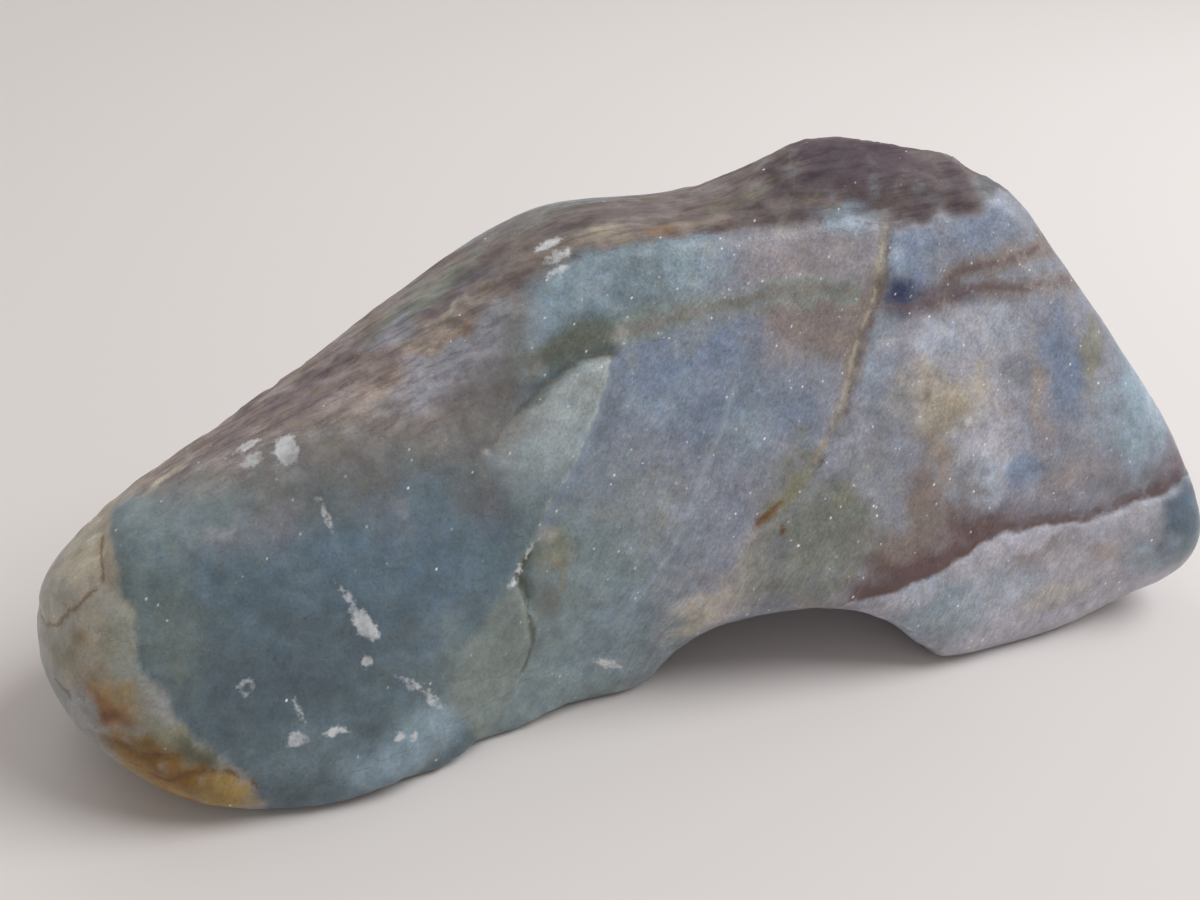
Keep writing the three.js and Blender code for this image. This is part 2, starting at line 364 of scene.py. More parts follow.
# Colours as they look in soft light, 0 to 255.
palette = {
    "teal": (85, 100, 107), "deepTeal": (75, 88, 97), "blueTeal": (88, 106, 121),
    "greyTeal": (113, 126, 130), "greenGrey": (112, 120, 112), "paleGreen": (142, 150, 152),
    "olive": (116, 114, 92), "oliveGrey": (116, 125, 121), "moss": (105, 108, 102),
    "darkGreen": (72, 78, 68), "slate": (112, 121, 136), "slateBlue": (106, 120, 142),
    "skyBlue": (130, 144, 157), "paleBlue": (126, 143, 155), "cyan": (112, 127, 136),
    "ice": (148, 158, 170), "lavender": (124, 126, 136), "whiteLavender": (155, 153, 162),
    "pinkGrey": (131, 126, 131), "warmGrey": (136, 138, 138), "cream": (168, 161, 145),
    "shell": (176, 170, 166), "tan": (140, 128, 115), "sand": (162, 154, 142), "ochre": (138, 115, 66),
    "rust": (132, 92, 50), "rustBrown": (106, 77, 32), "deepRust": (92, 64, 40), "brown": (112, 101, 95),
    "darkPurple": (75, 62, 71), "veinBrown": (88, 70, 70), "inkBlue": (48, 56, 84),
    "chalk": (186, 188, 191),
}
albedoGain = 1.3  # paint is lighter than it looks once it stands in the studio


def paintOf(name):
    share = np.array(palette[name]) / 255
    return np.where(share <= 0.04045, share / 12.92, ((share + 0.055) / 1.055) ** 2.4) * albedoGain


def lay(tint, name, mask):
    mask = np.clip(mask, 0, 1)[:, None]
    return tint * (1 - mask) + paintOf(name) * mask


# Each stain: colour, place, half length, half height, turn, strength. A place is (along, up), on the
# strip (along, across) and on the knob end (across, up).
frontStains = [
    ("deepTeal", -0.70, 0.28, 5.5, 3.0, -5, 0.7), ("deepTeal", -0.56, 0.32, 4.5, 3.0, -20, 0.5),
    ("blueTeal", -0.42, 0.44, 4.5, 3.0, 0, 0.8), ("blueTeal", -0.62, 0.46, 4.0, 2.5, 0, 0.4),
    ("greyTeal", -0.72, 0.55, 5.0, 1.6, 12, 0.8), ("lavender", -0.66, 0.51, 3.0, 1.2, 0, 0.4),
    ("greyTeal", -0.45, 0.64, 6.0, 1.8, 10, 0.5), ("whiteLavender", -0.69, 0.525, 0.8, 0.45, 0, 0.5),
    ("whiteLavender", -0.43, 0.51, 0.6, 0.5, 0, 0.35), ("paleGreen", -0.05, 0.795, 0.65, 0.4, -30, 0.9),
    ("lavender", -0.24, 0.74, 1.2, 0.8, -20, 0.6), ("deepRust", -0.20, 0.70, 0.8, 0.35, 35, 0.8),
    ("brown", -0.42, 0.66, 4.5, 1.4, 12, 0.45), ("greenGrey", -0.36, 0.18, 2.4, 2.6, 60, 0.4),
    ("paleBlue", -0.46, 0.10, 4.4, 1.6, 20, 0.7), ("greenGrey", -0.78, 0.37, 1.6, 3.0, 0, 0.4),
    ("deepTeal", -0.66, 0.06, 3.0, 0.9, 10, 0.7), ("paleBlue", -0.62, 0.15, 3.0, 1.2, 15, 0.15),
    ("paleBlue", -0.42, 0.28, 2.2, 1.6, 20, 0.18), ("deepTeal", -0.27, 0.685, 2.6, 1.2, 20, 0.9),
    ("darkGreen", -0.24, 0.70, 1.6, 0.7, 25, 0.4), ("slate", 0.02, 0.63, 3.6, 2.6, 0, 0.9),
    ("slateBlue", 0.08, 0.57, 2.8, 2.6, -30, 0.6), ("slate", -0.12, 0.60, 2.2, 3.2, -25, 0.6),
    ("skyBlue", 0.12, 0.54, 1.9, 1.2, 25, 0.9), ("ice", 0.13, 0.55, 0.7, 0.4, 25, 0.5),
    ("skyBlue", 0.02, 0.64, 2.4, 1.4, 30, 0.35), ("paleBlue", 0.15, 0.60, 1.6, 0.7, 50, 0.5),
    ("slateBlue", -0.02, 0.68, 2.0, 1.3, 0, 0.75), ("lavender", -0.02, 0.46, 4.5, 3.0, 15, 0.6),
    ("slate", 0.06, 0.40, 3.0, 1.4, 30, 0.4), ("ice", -0.03, 0.40, 2.6, 1.6, 20, 0.25),
    ("lavender", 0.02, 0.33, 3.4, 2.2, 20, 0.35), ("oliveGrey", -0.09, 0.44, 2.4, 0.8, 50, 0.45),
    ("shell", 0.05, 0.235, 3.6, 1.5, 34, 0.95), ("cream", 0.01, 0.19, 1.6, 1.0, 40, 0.6),
    ("lavender", 0.08, 0.33, 2.4, 1.0, 35, 0.5), ("greyTeal", -0.16, 0.33, 3.2, 3.0, 0, 0.5),
    ("paleBlue", -0.13, 0.20, 3.4, 2.4, 20, 0.7), ("greyTeal", -0.20, 0.22, 1.6, 2.6, 15, 0.5),
    ("olive", -0.21, 0.40, 1.0, 1.2, 0, 0.6), ("sand", -0.21, 0.425, 0.4, 0.5, 20, 0.6),
    ("moss", -0.225, 0.30, 0.8, 1.1, 30, 0.8), ("ochre", -0.205, 0.35, 0.3, 0.8, 0, 0.4),
    ("olive", -0.04, 0.42, 2.6, 0.5, 55, 0.25), ("cyan", -0.02, 0.83, 5.6, 1.7, 3, 0.95),
    ("paleBlue", 0.10, 0.84, 2.0, 0.9, 0, 0.35), ("skyBlue", -0.10, 0.82, 1.6, 0.9, -20, 0.5),
    ("paleBlue", -0.17, 0.80, 2.2, 2.2, -50, 0.9), ("skyBlue", -0.19, 0.77, 1.0, 1.2, -40, 0.6),
    ("greyTeal", -0.21, 0.73, 1.4, 1.4, -40, 0.7), ("teal", -0.08, 0.78, 2.6, 0.8, 8, 0.6),
    ("darkGreen", -0.10, 0.755, 2.0, 0.6, 10, 0.5), ("pinkGrey", 0.27, 0.82, 3.3, 2.6, 0, 0.95),
    ("brown", 0.27, 0.72, 3.2, 1.8, -5, 0.7), ("brown", 0.29, 0.70, 2.6, 1.3, -20, 0.65),
    ("pinkGrey", 0.22, 0.68, 1.5, 2.0, 0, 0.4), ("slate", 0.20, 0.60, 2.6, 2.0, 0, 0.6),
    ("slateBlue", 0.22, 0.55, 1.6, 1.4, -40, 0.5), ("slateBlue", 0.10, 0.70, 3.2, 1.1, 5, 0.8),
    ("tan", 0.11, 0.34, 3.6, 0.7, 50, 0.35), ("moss", 0.24, 0.26, 2.8, 1.6, 20, 0.7),
    ("warmGrey", 0.17, 0.46, 2.2, 0.8, 40, 0.4), ("moss", 0.25, 0.37, 3.8, 3.4, 20, 0.95),
    ("olive", 0.29, 0.43, 1.2, 1.0, 20, 0.4), ("olive", 0.21, 0.31, 1.2, 0.6, 0, 0.3),
    ("moss", 0.34, 0.33, 2.0, 2.6, 0, 0.55), ("darkGreen", 0.27, 0.45, 1.0, 0.6, 30, 0.5),
    ("moss", 0.17, 0.28, 3.2, 1.8, 10, 0.7), ("pinkGrey", 0.21, 0.21, 2.2, 0.8, 0, 0.5),
    ("slateBlue", 0.46, 0.84, 1.5, 2.6, -10, 0.8), ("skyBlue", 0.44, 0.82, 0.8, 1.4, 0, 0.5),
    ("slateBlue", 0.56, 0.85, 2.6, 1.2, -10, 0.5), ("slateBlue", 0.60, 0.87, 2.6, 1.4, -20, 0.6),
    ("skyBlue", 0.38, 0.65, 1.0, 2.8, -20, 0.6), ("slate", 0.40, 0.60, 1.3, 2.0, -15, 0.5),
    ("whiteLavender", 0.52, 0.64, 4.4, 2.0, 0, 0.85), ("ice", 0.50, 0.66, 1.8, 1.2, 0, 0.5),
    ("ice", 0.60, 0.66, 1.6, 1.0, 0, 0.5), ("whiteLavender", 0.57, 0.46, 2.2, 4.0, -8, 0.9),
    ("ice", 0.55, 0.38, 1.2, 2.2, -12, 0.6), ("sand", 0.50, 0.55, 2.4, 1.6, 0, 0.8),
    ("olive", 0.47, 0.51, 1.2, 0.9, 20, 0.4), ("sand", 0.43, 0.56, 1.6, 1.6, 0, 0.5),
    ("ochre", 0.51, 0.54, 0.9, 0.6, 0, 0.3), ("brown", 0.44, 0.40, 1.3, 2.6, -10, 0.7),
    ("rust", 0.44, 0.40, 0.7, 0.9, 0, 0.12), ("brown", 0.40, 0.31, 3.6, 1.8, 15, 0.85),
    ("tan", 0.47, 0.44, 0.8, 1.4, 0, 0.6), ("slateBlue", 0.72, 0.58, 1.6, 2.6, 0, 0.85),
    ("slateBlue", 0.62, 0.39, 1.2, 0.9, 0, 0.85), ("slateBlue", 0.57, 0.32, 1.6, 0.5, 50, 0.5),
    ("pinkGrey", 0.67, 0.50, 0.8, 3.4, 0, 0.7), ("tan", 0.66, 0.53, 0.5, 1.8, 0, 0.5),
    ("pinkGrey", 0.71, 0.37, 2.6, 1.1, 10, 0.8), ("tan", 0.68, 0.36, 1.2, 0.7, 0, 0.25),
    ("olive", 0.79, 0.60, 0.8, 1.6, -10, 0.6), ("tan", 0.78, 0.52, 0.6, 1.4, 0, 0.4),
    ("brown", 0.80, 0.42, 0.8, 1.8, 0, 0.4), ("paleBlue", 0.87, 0.48, 1.7, 4.4, -12, 0.9),
    ("ice", 0.90, 0.46, 0.8, 3.0, -12, 0.5), ("skyBlue", 0.80, 0.47, 1.3, 2.2, 0, 0.5),
]
noseStains = [
    ("cream", -0.88, 0.38, 1.6, 1.4, 0, 0.35), ("greenGrey", -0.85, 0.36, 1.2, 2.4, 0, 0.6),
    ("ochre", -0.90, 0.31, 1.6, 1.6, 0, 0.45), ("olive", -0.94, 0.32, 0.5, 0.9, 0, 0.8),
    ("ochre", -0.885, 0.27, 1.2, 1.3, 20, 0.7), ("rust", -0.895, 0.24, 1.0, 0.8, -20, 0.9),
    ("deepRust", -0.90, 0.235, 0.5, 0.35, 0, 0.8), ("whiteLavender", -0.93, 0.22, 0.7, 0.7, -20, 0.35),
    ("ochre", -0.87, 0.175, 2.0, 0.7, -15, 0.6), ("olive", -0.81, 0.19, 2.0, 0.7, -25, 0.85),
    ("ochre", -0.81, 0.09, 2.8, 1.8, -12, 0.9), ("rustBrown", -0.835, 0.15, 2.6, 0.9, -18, 0.95),
    ("ochre", -0.87, 0.11, 1.4, 1.2, -30, 0.6), ("rust", -0.85, 0.13, 1.2, 0.4, -20, 0.8),
    ("rustBrown", -0.80, 0.06, 2.4, 0.7, -10, 0.6), ("rustBrown", -0.79, 0.115, 1.6, 0.6, -20, 0.8),
    ("ochre", -0.75, 0.08, 1.6, 0.9, -10, 0.95), ("rust", -0.80, 0.08, 1.0, 0.4, -10, 0.8),
    ("darkGreen", -0.78, 0.165, 1.6, 0.5, -25, 0.7), ("rust", -0.84, 0.07, 1.6, 0.8, -20, 0.5),
]
footStains = [
    ("ice", 0.56, 0.17, 4.0, 1.4, 12, 0.5), ("cyan", 0.44, 0.14, 3.0, 2.2, 0, 0.7),
    ("pinkGrey", 0.66, 0.22, 2.4, 0.8, 5, 0.8), ("brown", 0.64, 0.235, 1.6, 0.5, 8, 0.4),
    ("pinkGrey", 0.76, 0.15, 3.6, 1.6, 0, 0.45), ("tan", 0.78, 0.20, 1.8, 0.8, 0, 0.45),
    ("paleBlue", 0.86, 0.18, 1.4, 1.4, 0, 0.6), ("cream", 0.68, 0.12, 2.4, 0.8, 10, 0.4),
]
stripStains = [
    ("darkPurple", -0.50, -0.05, 8.0, 1.0, 12, 0.6), ("darkPurple", -0.32, 0.0, 5.0, 0.9, 15, 0.5),
    ("darkPurple", -0.55, -0.22, 4.0, 0.5, 10, 0.5), ("greenGrey", -0.33, 0.05, 3.4, 1.2, 20, 0.7),
    ("teal", -0.25, -0.05, 2.4, 0.8, 20, 0.25), ("lavender", -0.35, -0.30, 2.2, 0.8, 10, 0.85),
    ("lavender", -0.38, -0.09, 1.0, 0.8, 10, 0.7), ("cream", -0.31, -0.10, 1.0, 0.35, 30, 0.7),
    ("rust", -0.29, -0.22, 1.2, 0.4, 10, 0.4), ("tan", -0.34, -0.21, 1.0, 0.5, 0, 0.6),
    ("paleBlue", -0.235, -0.22, 1.4, 0.8, 20, 0.3), ("tan", -0.28, -0.14, 2.0, 0.8, 15, 0.4),
    ("lavender", -0.27, -0.29, 1.6, 0.9, 10, 0.7), ("tan", -0.45, -0.28, 3.0, 0.7, 8, 0.3),
    ("cream", -0.76, -0.16, 1.5, 0.45, 15, 0.75), ("tan", -0.90, 0.0, 2.6, 2.2, 20, 0.8),
    ("olive", -0.88, 0.1, 2.6, 1.0, 25, 0.5), ("tan", -0.05, -0.07, 3.0, 0.45, -3, 0.7),
    ("rust", 0.04, -0.085, 1.0, 0.3, 0, 0.5), ("tan", 0.12, -0.08, 2.0, 0.4, 0, 0.7),
    ("cream", -0.06, -0.04, 1.2, 0.4, 0, 0.5), ("greenGrey", -0.10, 0.25, 4.0, 1.4, 10, 0.3),
    ("paleBlue", -0.02, 0.3, 1.8, 0.7, 0, 0.3), ("darkPurple", 0.02, 0.08, 5.0, 0.7, 0, 0.45),
    ("olive", 0.22, 0.0, 3.0, 0.5, 5, 0.6), ("darkPurple", 0.38, -0.02, 5.5, 1.9, 0, 0.9),
    ("darkPurple", 0.53, -0.12, 4.4, 1.5, -5, 0.5), ("greyTeal", 0.27, -0.13, 1.6, 0.3, -4, 0.3),
    ("tan", 0.30, -0.13, 2.0, 0.35, -4, 0.5), ("greyTeal", 0.64, -0.13, 1.2, 0.8, 0, 0.7),
]
backStains = [
    ("deepTeal", -0.5, 0.3, 7.0, 4.0, 10, 0.6), ("slate", -0.1, 0.45, 6.0, 4.0, -10, 0.6),
    ("paleBlue", 0.1, 0.7, 6.0, 2.5, 5, 0.6), ("whiteLavender", 0.45, 0.45, 6.0, 4.0, -15, 0.6),
    ("oliveGrey", 0.15, 0.25, 5.0, 2.5, 0, 0.6), ("tan", -0.25, 0.65, 4.0, 1.2, 20, 0.5),
    ("ochre", -0.8, 0.25, 2.4, 1.6, 0, 0.6), ("rust", -0.75, 0.12, 2.0, 0.9, 0, 0.5),
    ("pinkGrey", 0.65, 0.3, 3.0, 2.0, 0, 0.6), ("slateBlue", 0.3, 0.6, 3.0, 2.0, 30, 0.5),
    ("skyBlue", 0.22, 0.62, 1.6, 1.0, 20, 0.6), ("ice", 0.55, 0.62, 2.0, 1.0, -20, 0.6),
    ("sand", 0.50, 0.25, 1.8, 1.2, 10, 0.6), ("brown", 0.75, 0.50, 1.8, 1.2, -10, 0.6),
    ("shell", -0.10, 0.18, 2.4, 1.0, -20, 0.7), ("darkGreen", -0.30, 0.12, 2.0, 0.8, 10, 0.5),
    ("blueTeal", -0.62, 0.42, 3.0, 1.6, 10, 0.7), ("greyTeal", -0.35, 0.30, 2.6, 1.2, -30, 0.7),
]
endStains = [
    ("whiteLavender", -0.1, 0.50, 3.6, 3.0, 20, 0.7), ("slateBlue", 0.05, 0.62, 2.2, 1.6, 60, 0.7),
    ("brown", -0.15, 0.36, 2.8, 1.0, 25, 0.7), ("pinkGrey", 0.30, 0.40, 2.6, 2.0, 0, 0.6),
    ("paleBlue", -0.45, 0.45, 2.2, 2.4, -20, 0.6), ("olive", 0.12, 0.28, 1.4, 0.8, 30, 0.5),
    ("greyTeal", 0.40, 0.20, 3.0, 1.6, 10, 0.6), ("sand", 0.02, 0.75, 1.2, 0.8, 40, 0.5),
    ("ice", -0.30, 0.20, 2.4, 0.9, -10, 0.5), ("darkPurple", 0.10, 0.86, 1.6, 0.9, 0, 0.5),
]


def turned(plan, along, second, turn, wander):
    offset = plan - stonePlan((along, second), plan) + wander
    cosine, sine = math.cos(math.radians(turn)), math.sin(math.radians(turn))
    return offset[:, 0] * cosine + offset[:, 1] * sine, -offset[:, 0] * sine + offset[:, 1] * cosine


def layStains(tint, stains, plan, where, calm=1.0):
    wander = calm * np.stack([0.6 * waver + 0.3 * fineWaver, 0.6 * speckle + 0.3 * waver], axis=1)
    for name, along, second, longHalf, shortHalf, turn, strength in stains:
        lengthwise, crosswise = turned(plan, along, second, turn, wander)
        reach = np.hypot(lengthwise / longHalf, crosswise / shortHalf) + calm * 0.45 * speckle
        tint = lay(tint, name, where * strength * ease(1.5, 0.35, reach))
    return tint


def layLine(tint, name, line, width, strength, where, start=-0.1, end=1.1):
    distance, share = lines[line]
    inRange = ease(start - 0.02, start + 0.02, share) * ease(end + 0.02, end - 0.02, share)
    reach = np.abs(distance) + 0.35 * width * speckle
    return lay(tint, name, where * inRange * strength * ease(width, width * 0.3, reach))


# Ground colours first, then each zone's stains.
tint = np.tile(paintOf("lavender"), (len(places), 1))
tint = lay(tint, "greyTeal", ease(0.15, -0.2, alongShare + 0.12 * waver))
tint = lay(tint, "teal", onFront * ease(0.15, -0.15, pastPanel))
tint = lay(tint, "teal", onBack * ease(-0.2, -0.4, alongShare + 0.2 * waver) * 0.9)
tint = layStains(tint, frontStains, frontPlan, onFront)
tint = layStains(tint, backStains, frontPlan, onBack)
inLeaf = ease(0.1, -0.15, pastPanel) * ease(-0.1, 0.2, lines["leafTop"][0]) * ease(0.40, 0.66, upShare)
inLeaf *= ease(-0.32, -0.24, alongShare + 0.1 * (upShare - 0.6) + 0.03 * waver)
tint = lay(tint, "paleGreen", onFront * inLeaf * 0.95)
inScar = ease(0.15, -0.15, pastPanel) * ease(-0.2, 0.4, lines["scarEdge"][0]) * ease(0.39, 0.33, upShare)
tint = lay(tint, "oliveGrey", onFront * inScar * ease(-0.46, -0.40, alongShare) * 0.8)
underRidge = ease(3.4, 0.2, -behindEdge + 1.2 * waver)
underRidge *= ease(-0.82, -0.70, alongShare) * ease(-0.16, -0.26, alongShare)
tint = lay(tint, "brown", onFront * underRidge * 0.55)

pinkBlock = ease(-0.12, 0.12, places[:, 0] - 0.19 * halfLength + 0.15 * waver)
pinkBlock *= ease(-0.2, 0.4, -lines["seam"][0]) * ease(0.64, 0.72, upShare + 0.02 * speckle)
tint = lay(tint, "pinkGrey", onFront * pinkBlock * 0.6)
tint = layStains(tint, [("brown", 0.27, 0.725, 3.4, 1.5, -5, 0.55)], frontPlan, onFront * pinkBlock)
onFoot = onFront * ease(0.1, -0.3, aboveVein) * ease(0.24, 0.34, alongShare)
tint = lay(tint, "whiteLavender", onFoot * 0.85)
tint = layStains(tint, footStains, frontPlan, onFoot)
onKnob = ease(0.85, 0.91, alongShare + 0.03 * waver + 0.02 * speckle)
onKnob *= ease(0.34, 0.28, upShare + 0.03 * waver) * ease(-0.05, -0.45, acrossShare + 0.15 * waver)
tint = lay(tint, "lavender", onEnd * 0.75)
tint = layStains(tint, endStains, endPlan, onEnd)
tint = lay(tint, "teal", onKnob * ease(0.12, 0.2, upShare) * 0.95)
tint = lay(tint, "inkBlue", onKnob * ease(0.20, 0.27, upShare + 0.05 * speckle) * 0.4)

onNose = ease(0.25, -0.25, lines["noseEdge"][0] + 0.5 * speckle) * ease(-0.62, -0.68, alongShare)
onNose = np.maximum(onNose, ease(-0.86, -0.93, alongShare)) * (1 - onTop)
tint = lay(tint, "warmGrey", onNose * 0.95)
tint = lay(tint, "cream", onNose * ease(0.28, 0.40, upShare) * 0.45)
tint = layStains(tint, noseStains, frontPlan, onNose)
onCap = onNose * ease(0.42, 0.47, upShare + 0.02 * waver)
tint = lay(tint, "cream", onCap * 0.85)
tint = lay(tint, "olive", onCap * ease(0.0, 0.5, streaks) * 0.4)
tint = lay(tint, "brown", onCap * ease(0.1, -0.4, streaks) * 0.3)
tint = lay(tint, "pinkGrey", onCap * ease(0.1, 0.6, speckle) * 0.4)

tint = lay(tint, "brown", onTop * 0.92)
tint = lay(tint, "darkPurple", onTop * ease(0.05, 0.6, streaks) * 0.5)
tint = lay(tint, "pinkGrey", onTop * (1 - onHump) * ease(-0.05, -0.6, streaks) * 0.4)
tint = layStains(tint, stripStains, topPlan, onTop)
tint = lay(tint, "darkPurple", onHump * onTop * ease(0.1, -0.3, speckle) * 0.5)
tint = lay(tint, "lavender", onHump * onTop * ease(0.2, 0.6, speckle) * 0.4)
blueLens = [("skyBlue", 0.36, -0.175, 1.9, 0.42, -4, 0.95), ("ice", 0.37, -0.175, 1.0, 0.2, -4, 0.6)]
tint = layStains(tint, blueLens, topPlan, ease(0.75, 0.85, upShare), 0.3)
topOfNose = onTop * ease(-0.78, -0.88, alongShare + 0.03 * waver)
tint = lay(tint, "cream", topOfNose * 0.75)
tint = lay(tint, "olive", topOfNose * ease(0.1, 0.6, streaks) * 0.6)
tint = lay(tint, "pinkGrey", topOfNose * ease(-0.1, -0.6, streaks) * 0.5)
tint *= 1 + (onTop * (0.54 * ease(-0.10, -0.60, alongShare) - 0.08))[:, None]

# Soft halos of the lines; their crisp cores are in the finish.
tint = layLine(tint, "oliveGrey", "oliveLine", 0.9, 0.75, onFront)
tint = layLine(tint, "brown", "oliveLine", 0.4, 0.45, onFront)
tint = layLine(tint, "darkGreen", "oliveLine", 1.3, 0.75, onFront, 0.05, 0.3)
veinFade = ease(2.8, 0.3, aboveVein + 0.9 * speckle) * ease(-0.15, 0.05, aboveVein)
thick = 0.35 + 0.65 * ease(0.66, 0.50, alongShare) + 0.3 * ease(0.85, 0.9, alongShare)
tint = lay(tint, "veinBrown", onFront * veinFade * thick * 1.15 * ease(0.24, 0.32, alongShare))
tint = layLine(tint, "brown", "upperVein", 1.0, 0.4, towardsFront)
tint = layLine(tint, "veinBrown", "upperVein", 0.8, 0.2, towardsFront, -0.1, 0.45)
tint = layLine(tint, "brown", "upperVein", 0.7, 0.4, towardsFront, 0.45, 1.1)
tint = layLine(tint, "brown", "upperVeinTwin", 0.9, 0.8, towardsFront)
veinStains = [("inkBlue", 0.425, 0.745, 1.4, 1.1, 0, 0.98), ("darkPurple", 0.475, 0.725, 0.9, 0.7, 0, 0.6),
              ("darkPurple", 0.55, 0.75, 1.4, 0.8, 0, 0.6)]
tint = layStains(tint, veinStains, frontPlan, onFront)
tint = layLine(tint, "olive", "seam", 0.7, 0.4, onFront, 0.01, 0.3)
tint = layLine(tint, "tan", "seam", 0.5, 0.5, onFront, 0.01, 0.72)
tint = layLine(tint, "brown", "seam", 0.8, 0.6, onFront, 0.25, 0.5)
tint = layLine(tint, "olive", "seam", 0.7, 0.4, onFront, 0.68, 0.97)
seamStains = [("rustBrown", 0.14, 0.393, 0.9, 0.35, 30, 0.6), ("deepRust", 0.172, 0.366, 0.3, 0.24, 0, 0.95),
              ("deepRust", 0.133, 0.39, 0.6, 0.24, 30, 0.95), ("deepRust", 0.16, 0.41, 0.4, 0.16, 40, 0.8),
              ("olive", 0.19, 0.43, 1.2, 0.4, 40, 0.6)]
tint = layStains(tint, seamStains, frontPlan, onFront)
# Painted shade: a dark green band along the groove at the leaf's upper edge.
tint = layLine(tint, "darkGreen", "leafTop", 0.4, 0.4, onFront, -0.1, 0.8)
tint = layLine(tint, "brown", "backVein", 1.2, 0.7, onBack)
tint = layLine(tint, "veinBrown", "backVein", 0.6, 0.4, onBack, 0.1, 0.6)
tint = layLine(tint, "olive", "backSeam", 0.9, 0.5, onBack)
tint = layLine(tint, "darkGreen", "backLedge", 0.6, 0.5, onBack, 0.1, 0.9)
# Painted shade: slate, then dark green, darkens the low side at the foot of the panel's broken edge, where
# the step leaves a recess.
paintedCreviceShade = onFront * ease(1.1, 0.1, pastPanel) * ease(-0.05, 0.1, pastPanel)
tint = lay(tint, "slate", paintedCreviceShade * ease(0.02, 0.08, edgeShare) * ease(0.48, 0.4, edgeShare) * 0.6)
tint = lay(tint, "darkGreen", paintedCreviceShade * ease(0.42, 0.5, edgeShare) * ease(0.72, 0.6, edgeShare) * 0.8)
tint *= (1 + 0.09 * waver + 0.07 * fineWaver + 0.05 * streaks)[:, None]

# Chalky flecks: along, up (on the strip, across), half length, half height, turn.
frontFlecks = [
    (-0.51, 0.335, 0.95, 0.42, -55), (-0.53, 0.385, 0.6, 0.16, -60), (-0.515, 0.272, 0.34, 0.3, 0),
    (-0.625, 0.215, 0.38, 0.13, -70), (-0.635, 0.165, 0.5, 0.4, 0), (-0.58, 0.165, 0.5, 0.2, 0),
    (-0.458, 0.217, 0.6, 0.14, -40), (-0.427, 0.175, 0.7, 0.2, -60), (-0.49, 0.13, 0.35, 0.22, 0),
    (-0.465, 0.12, 0.22, 0.18, 0), (-0.54, 0.525, 0.65, 0.13, -70), (-0.245, 0.405, 0.3, 0.12, 50),
    (-0.265, 0.38, 0.34, 0.15, 60), (-0.28, 0.352, 0.2, 0.13, 40), (-0.13, 0.112, 0.8, 0.2, -35),
    (0.527, 0.505, 0.22, 0.2, 0),
]
stripFlecks = [
    (-0.632, -0.33, 0.5, 0.32, 0), (-0.632, -0.26, 0.6, 0.3, 0), (-0.58, -0.35, 0.6, 0.6, 0),
    (-0.135, -0.02, 0.75, 0.28, 5), (-0.125, -0.085, 0.65, 0.24, 5), (-0.13, -0.14, 0.5, 0.2, 5),
]
backFlecks = [
    (-0.33, 0.38, 0.7, 0.3, 50), (-0.36, 0.33, 0.3, 0.25, 0), (-0.65, 0.30, 0.4, 0.3, 0),
    (-0.55, 0.36, 0.6, 0.14, 70), (0.10, 0.30, 0.5, 0.2, -30), (0.38, 0.66, 0.3, 0.22, 0),
]


def flecksOver(flecks, plan):
    wander = 0.16 * np.stack([fineWaver, speckle], axis=1)
    edges = [3.0 * np.ones(len(plan))]
    for along, second, longHalf, shortHalf, turn in flecks:
        lengthwise, crosswise = turned(plan, along, second, turn, wander)
        edges.append((np.hypot(lengthwise / longHalf, crosswise / shortHalf) - 1) * shortHalf)
    return np.min(edges, axis=0)


onFace = np.maximum(towardsFront, onTop) > 0.5
flecks = np.minimum(flecksOver(frontFlecks, frontPlan), flecksOver(stripFlecks, topPlan))
ring = np.abs(flecksOver([(-0.695, 0.267, 0.36, 0.34, 0)], frontPlan)) - 0.05
flecks = np.where(onFace, np.minimum(flecks, ring), 3.0)
flecks = np.where(onBack > 0.5, flecksOver(backFlecks, frontPlan), flecks)


def saveColour(mesh, name, colour):
    layer = mesh.attributes.new(name, "FLOAT_COLOR", "POINT")
    layer.data.foreach_set("color", np.column_stack([np.clip(colour, 0, 1), np.ones(len(colour))]).ravel())


def saveValue(mesh, name, value):
    mesh.attributes.new(name, "FLOAT", "POINT").data.foreach_set("value", np.clip(value, -3, 3))


def saveLine(mesh, name, where, start=-0.1, end=1.1):
    distance, share = lines[name]
    kept = (where > 0.4) & (share > start) & (share < end)
    saveValue(mesh, name, np.where(kept, distance, 3.0))


saveColour(stone.data, "stoneTint", tint)
sugary = onFront * ease(-0.35, 0.0, alongShare) * ease(1.0, 0.6, alongShare)
saveValue(stone.data, "sugar", 0.2 + 0.8 * sugary)
stripLook = np.maximum(onTop, 0.25 * onCap)
onSlope = ease(-0.1, -0.3, alongShare)
saveValue(stone.data, "slopeStrip", stripLook * onSlope)
saveValue(stone.data, "levelStrip", stripLook * (1 - onSlope))
saveValue(stone.data, "flecks", flecks)
for name in ("noseCrease", "noseLedge", "noseFold", "upperVein", "upperVeinTwin", "lowerVein",
             "paleDiagonal", "leafTop"):
    saveLine(stone.data, name, towardsFront)
for name in ("backVein", "backSeam", "backLedge"):
    saveLine(stone.data, name, onBack)
lines["seamEnd"], lines["scarRim"] = lines["seam"], lines["panelEdge"]
saveLine(stone.data, "seam", onFront, 0.01, 0.74)
saveLine(stone.data, "seamEnd", onFront, 0.6, 1.0)
saveLine(stone.data, "panelEdge", onFront, 0.02, 0.46)
saveLine(stone.data, "scarRim", onFront, 0.46, 0.86)
saveLine(stone.data, "stripEdge", ease(0.2, 0.4, normals[:, 2]), 0.48, 0.78)
print("stains laid")

